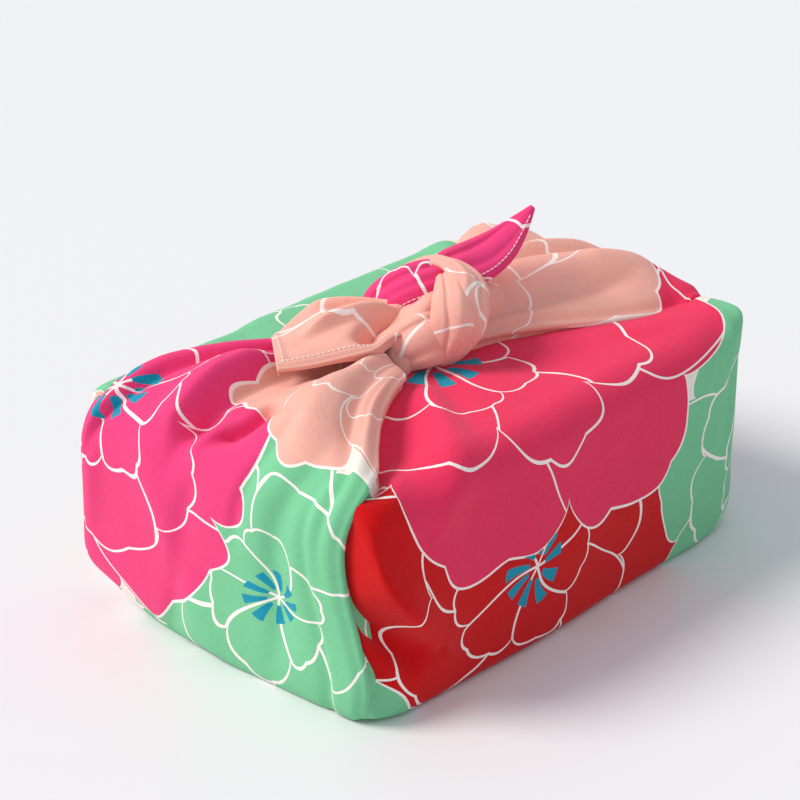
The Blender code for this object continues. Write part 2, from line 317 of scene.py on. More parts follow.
# Folds along a band. around: share of the way round its section, 0.25 facing out, at the band's middle.
# drift: how much that changes along it. reach: share of the section. rise: height, negative for a crease.
Fold = namedtuple("Fold", "around drift reach rise lean")
KNOT_FOLDS = {
    "inner_turn": [Fold(0.20, 0.05, 0.04, -1.6, 0.3), Fold(0.33, -0.04, 0.05, 1.2, 0.0)],
    "lower_turn": [Fold(0.36, 0.10, 0.030, -1.4, 0.5), Fold(0.17, 0.06, 0.035, -1.0, -0.5)],
    "outer_turn": [Fold(0.20, 0.10, 0.030, -1.2, 0.6), Fold(0.31, -0.06, 0.030, 0.8, 0.3)],
    "over_turn": [Fold(0.30, 0.12, 0.022, -0.9, 0.7), Fold(0.19, -0.03, 0.040, 0.7, 0.0)],
    "right_corner": [Fold(0.33, 0.08, 0.035, -1.6, 0.6), Fold(0.20, -0.05, 0.030, -0.8, -0.4)],
}

# Places on the flat cloth are in millimetres from its middle. Its corners lie this far out, along X and Y.
HALF_DIAGONAL = 495.0

# The print: big layered blossoms, one over the other. u, v: the middle. turn: degrees.
Blossom = namedtuple("Blossom", "u v radius turn petals ink")
BLOSSOMS = table(Blossom, [
    (-60, 150, 84, 35, 7, "peach"),
    (40, 96, 82, 50, 8, "rose"),
    (-14, 226, 122, 10, 7, "mint"),
    (140, 124, 66, 0, 7, "scarlet"),
    (196, 74, 78, 25, 8, "mint"),
    (180, -40, 70, 70, 7, "rose"),
    (-36, -112, 106, 20, 6, "scarlet"),
    (122, -104, 78, 15, 6, "mint"),
    (-14, -234, 132, 12, 7, "rose"),
    (-146, -20, 84, 30, 6, "mint"),
    # A pink blossom over the left end, where the window's light falls: the rose, painted lighter and more
    # magenta as lit.
    (-205, 74, 100, 12, 7, "painted_lit_rose"),
    (-300, -34, 100, 20, 9, "peach"),
    (-404, 6, 104, 0, 9, "peach"),
    (326, 18, 132, 20, 8, "peach"),
    # A pink blossom along the right corner's tail, where the window's light falls: the rose, painted lighter
    # and more magenta as lit.
    (420, -24, 112, 40, 9, "painted_lit_rose"),
])


def linear(code):
    """An sRGB hex colour as linear RGB."""
    parts = (int(code[i : i + 2], 16) / 255 for i in (1, 3, 5))
    return tuple(c / 12.92 if c <= 0.04045 else ((c + 0.055) / 1.055) ** 2.4 for c in parts)


def colour_property(name, description, code):
    return bpy.props.FloatVectorProperty(
        name=name, description=description, subtype="COLOR", size=3, min=0, max=1, default=linear(code)
    )


def length_property(name, description, metres):
    return bpy.props.FloatProperty(name=name, description=description, default=metres, unit="LENGTH")


class WrapColours(bpy.types.PropertyGroup):
    ground: colour_property("Ground", "Undyed cotton between the blossoms", "#EFE6DB")
    outline: colour_property("Outline", "Lines left undyed round the petals", "#FBEFEA")
    rose: colour_property("Rose", "Main blossoms", "#EA325C")
    # Pink: an ink of the print, and also the rose painted lighter and more magenta where the window's light
    # falls, on the left end and the tail: painted light.
    painted_lit_rose: colour_property("Painted lit rose", "Blossoms at the left and right corners", "#EC3F7C")
    scarlet: colour_property("Scarlet", "Red blossoms", "#CE060C")
    mint: colour_property("Mint", "Green blossoms", "#78C695")
    peach: colour_property("Peach", "Blossoms at the tied corners", "#F2B1A2")
    stamen: colour_property("Stamen", "Strokes in the middle of the blossoms", "#0B93AE")
    thread: colour_property("Thread", "Hem stitches", "#F7E4DC")
    floor: colour_property("Floor", "Floor and backdrop", "#E8E8EB")


class WrapSizes(bpy.types.PropertyGroup):
    box_width: length_property("Box width", "Across the box that the cloth goes round", 0.154)
    box_height: length_property("Box height", "Height of that box", 0.095)
    line_width: length_property("Line width", "Width of the printed outlines", 0.0012)
    thread_pitch: length_property("Thread pitch", "Distance between the threads as they are drawn", 0.00078)
    hem_width: length_property("Hem width", "From the cloth's edge to the line of stitches", 0.0028)
    stitch_length: length_property("Stitch length", "Length of one hem stitch", 0.0015)
    stitch_pitch: length_property("Stitch pitch", "From one hem stitch to the next", 0.0021)


def sizes():
    return bpy.context.scene.wrap_sizes


def colours():
    return bpy.context.scene.wrap_colours


def between(rows, place):
    """The smooth curve through a table's rows, at a place counted in rows."""
    last = len(rows) - 1
    start = min(int(place), last - 1)
    t = place - start
    before, here, there, after = (rows[min(max(start + k, 0), last)] for k in (-1, 0, 1, 2))
    values = []
    for a, b, c, d in zip(before, here, there, after):
        bend = 2 * b + (c - a) * t + (2 * a - 5 * b + 4 * c - d) * t * t + (3 * b - a - 3 * c + d) * t ** 3
        values.append(0.5 * bend)
    return type(here)(*values)


def eased(share):
    """0 up to 0, 1 from 1, and smooth between."""
    share = min(max(share, 0.0), 1.0)
    return share * share * (3 - 2 * share)


def soft(distance, reach):
    """A fold's rounded profile: 1 on its line and 0 a good way off."""
    return math.exp(-((distance / reach) ** 2))


def leaning(off, reach, lean):
    """The same profile, but steeper on its positive side, or for a negative lean on the other."""
    if off * lean > 0:
        return soft(off, reach * (1 - 0.75 * abs(lean)))
    return soft(off, reach * (1 + 0.35 * abs(lean)))


def rumple(u, v, seed):
    """The unevenness of cloth that was folded by hand, from about -1 to 1."""
    place = Vector((u / RUMPLE_LENGTH, v / RUMPLE_LENGTH, seed))
    return noise.noise(place) + 0.35 * noise.noise(place * 2.7)


def beside(point, start, end):
    """How far a flat point is to the left of a line, and where along the line it lies, from 0 to 1."""
    run = end - start
    share = min(max((point - start).dot(run) / run.length_squared, 0.0), 1.0)
    off = point - start - run * share
    left = run.x * off.y - run.y * off.x
    return math.copysign(off.length, left), share


def cloth_from_grid(name, columns, closed=False, outward=(0, 0, 1)):
    """A piece of cloth: a grid, its points moved to columns of (place, place on the flat cloth) pairs."""
    across = len(columns[0])
    body = bmesh.new()
    bmesh.ops.create_grid(body, x_segments=len(columns) - 1, y_segments=across - 1, size=0.5)
    order = sorted(body.verts, key=lambda vert: (round(vert.co.x, 6), round(vert.co.y, 6)))
    on_cloth = {}
    for number, vert in enumerate(order):
        place, spot = columns[number // across][number % across]
        vert.co = place * MM
        on_cloth[vert] = spot * MM
    flat = body.loops.layers.uv.new("flat_cloth")
    for face in body.faces:
        for loop in face.loops:
            loop[flat].uv = on_cloth[loop.vert]
    if closed:
        bmesh.ops.remove_doubles(body, verts=body.verts, dist=0.00001)
    bmesh.ops.recalc_face_normals(body, faces=body.faces)
    body.normal_update()
    outward = Vector(outward)
    outermost = max(body.faces, key=lambda face: face.calc_center_median().dot(outward))
    if outermost.normal.dot(outward) < 0:
        bmesh.ops.reverse_faces(body, faces=body.faces)
    return piece_from(name, body)


def piece_from(name, body):
    mesh = bpy.data.meshes.new(name)
    body.to_mesh(mesh)
    body.free()
    mesh.shade_smooth()
    piece = bpy.data.objects.new(name, mesh)
    bpy.context.collection.objects.link(piece)
    return piece


def arc(centre_y, centre_z, radius, first, last, steps):
    turns = (math.radians(first + (last - first) * i / steps) for i in range(steps))
    return [(centre_y + radius * math.cos(a), centre_z + radius * math.sin(a)) for a in turns]


def line(y1, z1, y2, z2, steps):
    return [(y1 + (y2 - y1) * i / steps, z1 + (z2 - z1) * i / steps) for i in range(steps)]


def half_round(drawn_in, lifted):
    """Half of a cross-section, from the middle of the bottom towards -Y and up."""
    half = sizes().box_width / MM / 2 - drawn_in
    top = sizes().box_height / MM - 0.5 * max(drawn_in, 0.0)
    bottom = line(0, 0, -(half - FOOT_RADIUS), 0, FLOOR_STEPS)
    return (
        [(y, lifted * (y / half) ** 4) for y, z in bottom]
        + arc(-(half - FOOT_RADIUS), lifted + FOOT_RADIUS, FOOT_RADIUS, 270, 180, FOOT_STEPS)
        + line(-half, lifted + FOOT_RADIUS, -half, top - BROW_RADIUS, SIDE_STEPS)
        + arc(-(half - BROW_RADIUS), top - BROW_RADIUS, BROW_RADIUS, 180, 90, BROW_STEPS)
        + line(-(half - BROW_RADIUS), top, 0, top, TOP_STEPS)
    )


def round_the_box(section):
    """One cross-section, from the middle of the top down the front, under the bottom and up the back."""
    near = half_round(section.near_in, section.near_lift)
    far = half_round(section.far_in, section.far_lift)
    top = (0, (near[-1][1] + far[-1][1]) / 2)
    return [top] + near[::-1] + [(-y, z) for y, z in far[1:]] + [top]


def under_end_cloth(x, y):
    """How far a point of the box's top lies under the cloth drawn over an end, from 0 to 1."""
    rows = LEFT_END if x < 0 else RIGHT_END
    for outer, inner in zip(rows, rows[1:]):
        if outer.height > OVER_THE_TOP and inner.away <= abs(x) <= outer.away:
            share = (abs(x) - inner.away) / (outer.away - inner.away)
            near = inner.near + (outer.near - inner.near) * share
            far = inner.far + (outer.far - inner.far) * share
            return eased(min(y - near, far - y) / SINK_EASE)
    return 0.0


def creased(x, around):
    """The height of the box cloth's folds, at a distance round the box from the middle of its bottom."""
    height = 0.0
    for crease in CREASES:
        off, share = beside(Vector((x, around)), Vector(crease[0:2]), Vector(crease[2:4]))
        strength = 0.5 + 0.5 * math.sin(math.pi * share)
        height += crease.rise * leaning(off, crease.reach, crease.lean) * strength
    return height


def body_column(section, flat_u, tucked=0.0):
    """The cloth round one cross-section. tucked: how far it is drawn in over the box's short end."""
    outline = round_the_box(section)
    middle = len(outline) // 2
    gone = [0.0]
    for (y1, z1), (y2, z2) in zip(outline, outline[1:]):
        gone.append(gone[-1] + math.hypot(y2 - y1, z2 - z1))
    half_height = sizes().box_height / MM / 2
    column = []
    for i, (y, z) in enumerate(outline):
        before, after = outline[max(i - 1, 0)], outline[min(i + 1, len(outline) - 1)]
        out = Vector((0, after[1] - before[1], before[0] - after[0])).normalized()
        around = gone[i] - gone[middle]
        upright = min(max(z / (2 * half_height), 0.0), 1.0)
        swell = CLOTH_LIFT + SIDE_BULGE * math.sin(math.pi * upright) * abs(out.y)
        swell += TOP_CROWN * max(out.z, 0.0) + creased(section.x, around)
        if out.z > OFF_THE_FLOOR:
            swell += RUMPLE_HEIGHT * rumple(section.x, around, 0.0)
        if out.z > ON_TOP:
            sunk = SINK + SINK_MORE * eased((abs(section.x) - SINK_FROM) / SINK_OVER)
            swell -= sunk * under_end_cloth(section.x, y)
        point = Vector((section.x, y, z)) + out * swell
        for puff in PUFFS:
            share = soft(around - puff.around, puff.tall) * soft(puff.x - section.x, puff.wide)
            point += Vector((puff.rise, -puff.forward, 0)) * share
        point.z = max(point.z, 0.0)
        inward = Vector((0, -point.y, half_height - point.z))
        point += inward * tucked
        column.append((point, Vector((flat_u, around))))
    return column


def wrapped_box():
    """The cloth round the box, and its tucked ends."""
    tucks = {}
    for place, side in ((0.0, -1), (len(SECTIONS) - 1.0, 1)):
        section = between(SECTIONS, place)
        shares = [TUCK * i / TUCK_STEPS for i in range(1, TUCK_STEPS + 1)]
        tucks[side] = [body_column(section, section.x + side * TUCK_CLOTH * share, share) for share in shares]
    columns = tucks[-1][::-1]
    for step in range((len(SECTIONS) - 1) * SECTION_STEPS + 1):
        section = between(SECTIONS, step / SECTION_STEPS)
        columns.append(body_column(section, section.x))
    return cloth_from_grid("box_cloth", columns + tucks[1], closed=True)


# A sheet of cloth between two long edges that are folded under. drop and reach: how far its top shoulders
# slope down to the near and far edges, and over what width. sag: how far its foot hangs below the line from
# edge to edge. side: 1 for one at +X. turn: how roundly its edges turn under. hemmed: its first row is a hem.
Sheet = namedtuple(
    "Sheet", "name rows pleats near_drop near_reach far_drop far_reach sag side seed turn hemmed"
)

# In rows: where the cloth over an end turns on to the box's top, and where its foot ends.
TOP_ROW = 7.0
FOOT_ROW = 3.0

# A hem's double thickness, which ends HEM_BEYOND past its stitches, in a step HEM_STEP wide.
HEM_THICKNESS = 0.5
HEM_BEYOND = 1.2
HEM_STEP = 0.8


def drawn_up(rows):
    """The two edges of the cloth drawn up over an end, which is worked out at -X."""
    return [Edges(-r.away, r.near, r.height, -r.away, r.far, r.height + r.tilt, r.thick) for r in rows]


def sheet_line(sheet, place):
    """The sheet's near and far edges at a place, the way out of it and the way along it."""
    row = between(sheet.rows, place)
    near, far = Vector(row[0:3]), Vector(row[3:6])
    ahead = between(sheet.rows, min(place + LOOK, len(sheet.rows) - 1))
    behind = between(sheet.rows, max(place - LOOK, 0))
    along = (Vector(ahead[0:3]) + Vector(ahead[3:6]) - Vector(behind[0:3]) - Vector(behind[3:6])).normalized()
    out = along.cross(far - near).normalized()
    return near, far, out, along


def pleated(sheet, place, across, wide):
    height = 0.0
    for pleat in sheet.pleats:
        share = (place - pleat.row1) / (pleat.row2 - pleat.row1)
        fade = 1.0 if 0 <= share <= 1 else soft(min(abs(share), abs(share - 1)), PLEAT_FADE)
        off = (across - pleat.across1 - (pleat.across2 - pleat.across1) * share) * wide
        height += pleat.rise * fade * leaning(off, pleat.reach, pleat.lean)
    return height


def shoulders(sheet, place, across, wide):
    """How far the top of the sheet slopes down towards its two long edges."""
    on_top = eased(place - TOP_ROW)
    near = sheet.near_drop * math.exp(-across * wide / sheet.near_reach)
    far = sheet.far_drop * math.exp(-(1 - across) * wide / sheet.far_reach)
    return on_top * (near + far)


def hemmed_up(sheet, gone, across, wide):
    """The double thickness of a hem along the near edge and the first row."""
    if not sheet.hemmed:
        return 0.0
    inside = min(gone, across * wide)
    return HEM_THICKNESS * eased((sizes().hem_width / MM + HEM_BEYOND - inside) / HEM_STEP)


def sheet_point(sheet, place, across, gone):
    """A point of the sheet's upper side, and the way out of it."""
    near, far, out, along = sheet_line(sheet, place)
    wide = (far - near).length
    lift = CLOTH_LIFT + sheet.turn * math.sin(math.pi * across) + pleated(sheet, place, across, wide)
    rumpled = rumple(gone, across * wide, sheet.seed) * (0.3 + 0.7 * math.sin(math.pi * across))
    lift += RUMPLE_HEIGHT * rumpled
    lift -= shoulders(sheet, place, across, wide) - hemmed_up(sheet, gone, across, wide)
    lift -= sheet.turn * (soft(across * wide, sheet.turn) + soft((1 - across) * wide, sheet.turn))
    sunk = sheet.sag * (across - across ** 4) * (1 - eased(place / FOOT_ROW))
    return near.lerp(far, across) + out * lift - Vector((0, 0, sunk)), out


def turned_under(sheet, place, steps_down):
    """(outwards, below) points of an edge that is folded under, from deep in the wrap up to its top."""
    deep = max(between(sheet.rows, place).thick - 2 * sheet.turn, 0.5)
    lip = sheet.turn * 0.8
    shares = [1 - i / steps_down for i in range(steps_down)]
    wall = [(-0.1 * deep * share, 2 * lip + deep * share) for share in shares]
    turns = (math.pi * (1 - i / LIP_STEPS) for i in range(LIP_STEPS))
    return wall + [(lip * math.sin(turn), lip * (1 - math.cos(turn))) for turn in turns]


def moved_over(sheet, point):
    """A sheet's point on its own side of the wrap, and over the floor."""
    return Vector((-sheet.side * point.x, point.y, max(point.z, CLOTH_LIFT)))


def sheet_column(sheet, place, gone, flat_place):
    near, far = sheet_line(sheet, place)[:2]
    wide = (far - near).length
    sideways = (far - near) / wide
    edge = turned_under(sheet, place, WALL_STEPS)
    spots = [(0.0, -away, below) for away, below in edge]
    spots += [(i / ACROSS_STEPS, 0.0, 0.0) for i in range(ACROSS_STEPS + 1)]
    spots += [(1.0, away, below) for away, below in edge[::-1]]
    column = []
    for across, away, below in spots:
        point, out = sheet_point(sheet, place, across, gone)
        point += sideways * away - out * below
        spot = flat_place(place, gone, (across - 0.5) * wide + away, wide, below)
        column.append((moved_over(sheet, point), spot))
    return column


def gone_by(sheet, place):
    """The distance from the sheet's first row to a place, along its middle."""
    steps = max(int(place * 6), 1)
    middles = [between(sheet.rows, place * i / steps) for i in range(steps + 1)]
    middles = [(Vector(row[0:3]) + Vector(row[3:6])) / 2 for row in middles]
    return sum((b - a).length for a, b in zip(middles, middles[1:]))


def folded(sheet, flat_place):
    """The cloth of one sheet, with its long edges folded under, and its first row too where that is a hem."""
    last = len(sheet.rows) - 1
    places = [i / ROW_STEPS for i in range(last * ROW_STEPS + 1)]
    columns = [sheet_column(sheet, place, gone_by(sheet, place), flat_place) for place in places]
    if sheet.hemmed:
        out, along = sheet_line(sheet, 0.0)[2:]
        turned = []
        for away, below in turned_under(sheet, 0.0, 3):
            shift = -along * away - out * below
            shift.x *= -sheet.side
            turned.append([(point + shift, spot) for point, spot in columns[0]])
        columns = turned + columns
    return cloth_from_grid(sheet.name, columns, outward=(sheet.side, 0, 0))


LEFT_CLOTH = Sheet(
    "left_end", drawn_up(LEFT_END), LEFT_PLEATS, near_drop=4, near_reach=7, far_drop=1, far_reach=4,
    sag=14, side=-1, seed=4, turn=2, hemmed=False,
)
RIGHT_CLOTH = Sheet(
    "right_end", drawn_up(RIGHT_END), RIGHT_PLEATS, near_drop=9, near_reach=18, far_drop=5, far_reach=12,
    sag=0, side=1, seed=7, turn=2, hemmed=False,
)
CORNER_CLOTH = Sheet(
    "left_corner", LEFT_CORNER, CORNER_PLEATS, near_drop=0, near_reach=1, far_drop=0, far_reach=1,
    sag=0, side=-1, seed=9, turn=0.9, hemmed=True,
)

# On the flat cloth the ends begin END_START from the middle, and they gather from row GATHER_ROW on.
END_START = 112.0
GATHER_ROW = 6.0
GATHER = 1.6
GATHER_POWER = 1.3


def gathered_end(side, rows):
    """Where a point of an end's cloth lies on the flat cloth: gathered more and more towards the knot."""

    def flat_place(place, gone, off, wide, below):
        row = between(rows, place)
        gather = 1.0 + GATHER * max(0.0, place / GATHER_ROW - 1.0) ** GATHER_POWER
        spread = gather * (off + (row.near + row.far) / 2) + math.copysign(below, off)
        return Vector((side * (END_START + gone), spread))

    return flat_place


def hemmed_corner(place, gone, off, wide, below):
    """The left corner on the flat cloth: its hems run at 45 degrees from the cloth's corner."""
    along = place / (len(LEFT_CORNER) - 1)
    near = Vector((-HALF_DIAGONAL, 0)).lerp(Vector((-HALF_DIAGONAL + 46, -46)), along)
    far = Vector((-HALF_DIAGONAL + 22, 22)).lerp(Vector((-HALF_DIAGONAL + 66, 8)), along)
    return near.lerp(far, min(max(off / wide + 0.5, 0.0), 1.0))


# A gathered band of cloth. start and step: where it begins on the flat cloth, and which way it runs there.
# facing: the way that its outer side faces, or None for away from the knot's heart.
Band = namedtuple("Band", "name stations start step facing seed")
KNOT_BANDS = [
    Band("inner_turn", INNER_TURN, (287, 50), (0.6, 0.6), (0, 0, 1), 3.0),
    Band("lower_turn", LOWER_TURN, (-242, -70), (-1.0, 0.0), (-0.4, -0.8, 0.4), 5.0),
    Band("outer_turn", OUTER_TURN, (-330, 40), (-0.9, 0.4), None, 6.0),
    Band("over_turn", OVER_TURN, (-318, -62), (-0.4, -0.9), None, 8.0),
]
TAIL_BAND = Band("right_corner", RIGHT_CORNER, (HALF_DIAGONAL - 90, -66), (0.88, 0.48), TOWARDS_FRONT, 11.0)


def band_point(band, place, around):
    """A point of a band's oval section, and the way out of it. around: 0.25 is its outer side's middle."""
    here = between(band.stations, place)
    ahead = between(band.stations, min(place + LOOK, len(band.stations) - 1))
    behind = between(band.stations, max(place - LOOK, 0))
    centre = Vector(here[0:3])
    along = (Vector(ahead[0:3]) - Vector(behind[0:3])).normalized()
    out = Vector(band.facing) if band.facing else centre - Vector(KNOT_HEART)
    out = (out - along * out.dot(along)).normalized()
    across = along.cross(out)
    turn = 2 * math.pi * around
    run = place / (len(band.stations) - 1)
    lift = CLOTH_LIFT + 0.5 * RUMPLE_HEIGHT * rumple(place * 16, math.cos(turn) * here.wide, band.seed)
    for fold in KNOT_FOLDS[band.name]:
        off = (around - fold.around - fold.drift * (run - 0.5) + 0.5) % 1.0 - 0.5
        lift += fold.rise * leaning(off, fold.reach, fold.lean) * eased(run * 4) * eased((1 - run) * 4)
    point = centre + across * ((here.wide / 2 + 0.4 * lift) * math.cos(turn))
    point += out * ((here.thick / 2 + lift) * math.sin(turn))
    return point, out * math.sin(turn) + across * math.cos(turn) * 0.4


# The cloth of a band: how much of it one station takes, and the oval's round against its two widths together.
STATION_CLOTH = 10.0
OVAL_ROUND = 1.6


def gathered_band(band):
    """The closed tube of a band, with the cloth running along it."""
    last = (len(band.stations) - 1) * BAND_STEPS
    step = Vector(band.step)
    columns = []
    for number in range(last + 1):
        place = number / BAND_STEPS
        here = between(band.stations, place)
        round_it = (here.wide + here.thick) * OVAL_ROUND
        column = []
        for i in range(BAND_SIDES + 1):
            around = i / BAND_SIDES
            spread = round_it * (0.25 - around if around <= 0.5 else around - 0.75)
            spot = Vector(band.start) + step * (place * STATION_CLOTH) + Vector((-step.y, step.x)) * spread
            column.append((band_point(band, place, around)[0], spot))
        columns.append(column)
    for end in (0, -1):
        middle = sum((point for point, spot in columns[end][:-1]), Vector()) / BAND_SIDES
        cap = [(middle, spot) for point, spot in columns[end]]
        columns = [cap] + columns if end == 0 else columns + [cap]
    return cloth_from_grid(band.name, columns, closed=True)


# A stitch: how far it stands out of the cloth, its width and its thickness.
STITCH_LIFT = 0.12
STITCH_WIDTH = 0.4
STITCH_THICKNESS = 0.3


def stitched(body, path):
    """Short stitches along a path of (point, way out of the cloth) pairs, in millimetres."""
    pitch, long = sizes().stitch_pitch / MM, sizes().stitch_length / MM
    gone, due = 0.0, 0.0
    for (here, out), (there, _) in zip(path, path[1:]):
        run = there - here
        while due < gone + run.length:
            centre = here + run * ((due - gone) / run.length) + out.normalized() * STITCH_LIFT
            along = run.normalized()
            side = out.cross(along).normalized()
            high = side.cross(along) * -STITCH_THICKNESS
            turn = Matrix((along * long, side * STITCH_WIDTH, high)).transposed().to_4x4()
            turn.translation = centre
            made = bmesh.ops.create_cube(body, size=1.0)["verts"]
            bmesh.ops.transform(body, matrix=Matrix.Scale(MM, 4) @ turn, verts=made)
            due += pitch
        gone += run.length


def corner_stitches(body):
    """The stitches along the two hems of the left corner, in rows and shares across, as far as the knot."""
    hem = sizes().hem_width / MM
    last = len(LEFT_CORNER) - 1
    near_hem, first_hem = [], []
    for i in range(60):
        place = 0.28 + (last - 1.2) * i / 59
        near, far = sheet_line(CORNER_CLOTH, place)[:2]
        across = hem / (far - near).length
        point, out = sheet_point(CORNER_CLOTH, place, across, gone_by(CORNER_CLOTH, place))
        near_hem.append((moved_over(CORNER_CLOTH, point), out))
    for i in range(30):
        point, out = sheet_point(CORNER_CLOTH, 0.3, 0.1 + 0.82 * i / 29, hem)
        first_hem.append((moved_over(CORNER_CLOTH, point), out))
    stitched(body, near_hem)
    stitched(body, first_hem)


def tail_stitches(body):
    """The stitches along the hem of the right corner, which comes to the front towards the tip."""
    last = len(RIGHT_CORNER) - 1
    shares = [i / 119 for i in range(120)]
    stitched(body, [band_point(TAIL_BAND, 1.5 + (last - 1.9) * s, 0.10 + 0.05 * s ** 3) for s in shares])


def node(tree, kind, *inputs, named=None, **settings):
    """Adds a node, such as Mix or Math.SINE, sets it up, and links or fills its inputs, in order or by name.

    A node that is given as an input stands for its first output.
    """
    kind, _, operation = kind.partition(".")
    made = tree.nodes.new("ShaderNode" + kind)
    if operation:
        made.operation = operation
    for key, value in settings.items():
        setattr(made, key, value)
    for key, value in [*enumerate(inputs), *(named or {}).items()]:
        if isinstance(value, bpy.types.Node):
            value = value.outputs[0]
        if isinstance(value, bpy.types.NodeSocket):
            tree.links.new(value, made.inputs[key])
        else:
            made.inputs[key].default_value = value
    return made


def group(name, inputs, outputs):
    """An empty node group with its sockets, and its input and output nodes."""
    tree = bpy.data.node_groups.new(name, "ShaderNodeTree")
    for title, kind in inputs:
        tree.interface.new_socket(title, in_out="INPUT", socket_type=kind)
    for title, kind in outputs:
        tree.interface.new_socket(title, in_out="OUTPUT", socket_type=kind)
    return tree, tree.nodes.new("NodeGroupInput").outputs, tree.nodes.new("NodeGroupOutput").inputs


FLOAT, VECTOR = "NodeSocketFloat", "NodeSocketVector"

# The Mix node's sockets: its factor, and the two inputs and the result for colours and for places.
FACTOR = 0
COLOUR_A, COLOUR_B, COLOUR_RESULT = 6, 7, 2
PLACE_A, PLACE_B, PLACE_RESULT = 4, 5, 1

# Whole turns that are added to an angle before its fraction is taken, so that it is never negative.
WHOLE_TURNS = 100.0

# A petal's outline, in shares of the blossom's radius: where its notches lie, how far its round stands out of
# them, and how high its scallops and its unevenness are. ROUNDNESS: under 1 for a full round.
NOTCH = 0.78
ROUND = 0.17
ROUNDNESS = 0.6
SCALLOP = 0.035
UNEVENNESS = 0.05


def petal_reach_group():
    """How far a ring of petals reaches at an angle: a big round for each petal, with small scallops on it."""
    tree, given, result = group("petal_reach", [("Angle", FLOAT), ("Petals", FLOAT)], [("Reach", FLOAT)])
    turns = node(tree, "Math.MULTIPLY", given["Angle"], given["Petals"])
    turns = node(tree, "Math.DIVIDE", turns, 2 * math.pi)
    within = node(tree, "Math.FRACT", node(tree, "Math.ADD", turns, WHOLE_TURNS))
    big = node(tree, "Math.SINE", node(tree, "Math.MULTIPLY", within, math.pi))
    small = node(tree, "Math.SINE", node(tree, "Math.MULTIPLY", within, 3 * math.pi))
    small = node(tree, "Math.ABSOLUTE", small)
    uneven = node(tree, "Math.SINE", node(tree, "Math.MULTIPLY_ADD", given["Angle"], 2.0, given["Petals"]))
    reach = node(tree, "Math.MULTIPLY_ADD", node(tree, "Math.POWER", big, ROUNDNESS), ROUND, NOTCH)
    reach = node(tree, "Math.MULTIPLY_ADD", small, SCALLOP, reach)
    reach = node(tree, "Math.MULTIPLY_ADD", uneven, UNEVENNESS, reach)
    tree.links.new(reach.outputs[0], result["Reach"])
    return tree


def blossom_group(petal_reach):
    """A blossom's outer ring: whether a point is inside it, on its outline, and its place in the blossom."""
    inputs = [("Cloth", VECTOR), ("Middle", VECTOR), ("Radius", FLOAT), ("Turn", FLOAT), ("Petals", FLOAT)]
    outputs = [("Inside", FLOAT), ("Outline", FLOAT), ("Place", VECTOR)]
    tree, given, result = group("blossom", inputs, outputs)
    off = node(tree, "VectorMath.SUBTRACT", given["Cloth"], given["Middle"])
    parts = node(tree, "SeparateXYZ", off).outputs
    far = node(tree, "VectorMath.LENGTH", off).outputs["Value"]
    angle = node(tree, "Math.ADD", node(tree, "Math.ARCTAN2", parts["Y"], parts["X"]), given["Turn"])
    reach = node(tree, "Group", named={"Angle": angle, "Petals": given["Petals"]}, node_tree=petal_reach)
    edge = node(tree, "Math.SUBTRACT", far, node(tree, "Math.MULTIPLY", reach, given["Radius"]))
    inside = node(tree, "Math.LESS_THAN", edge, 0.0)
    outline = node(tree, "Math.LESS_THAN", node(tree, "Math.ABSOLUTE", edge), sizes().line_width / 2)
    kind = node(tree, "Math.ADD", given["Petals"], given["Radius"])
    place = node(tree, "CombineXYZ", angle, far, kind)
    for made, title in ((inside, "Inside"), (outline, "Outline"), (place, "Place")):
        tree.links.new(made.outputs[0], result[title])
    return tree


# The rings inside a blossom. size: against the outer ring. turn: radians. curl: how much its seams bend.
Ring = namedtuple("Ring", "size turn curl")
RINGS = [Ring(1.0, 0.0, 0.9), Ring(0.66, 0.45, -1.1), Ring(0.36, 1.0, 1.2)]

# The stamens: how many, how they bend, half their width against their pitch, and where they begin and end.
STAMENS = 9
STAMEN_BEND = 1.6
STAMEN_WIDTH = 0.26
STAMEN_FOOT = 0.05
STAMEN_TIP = 0.15


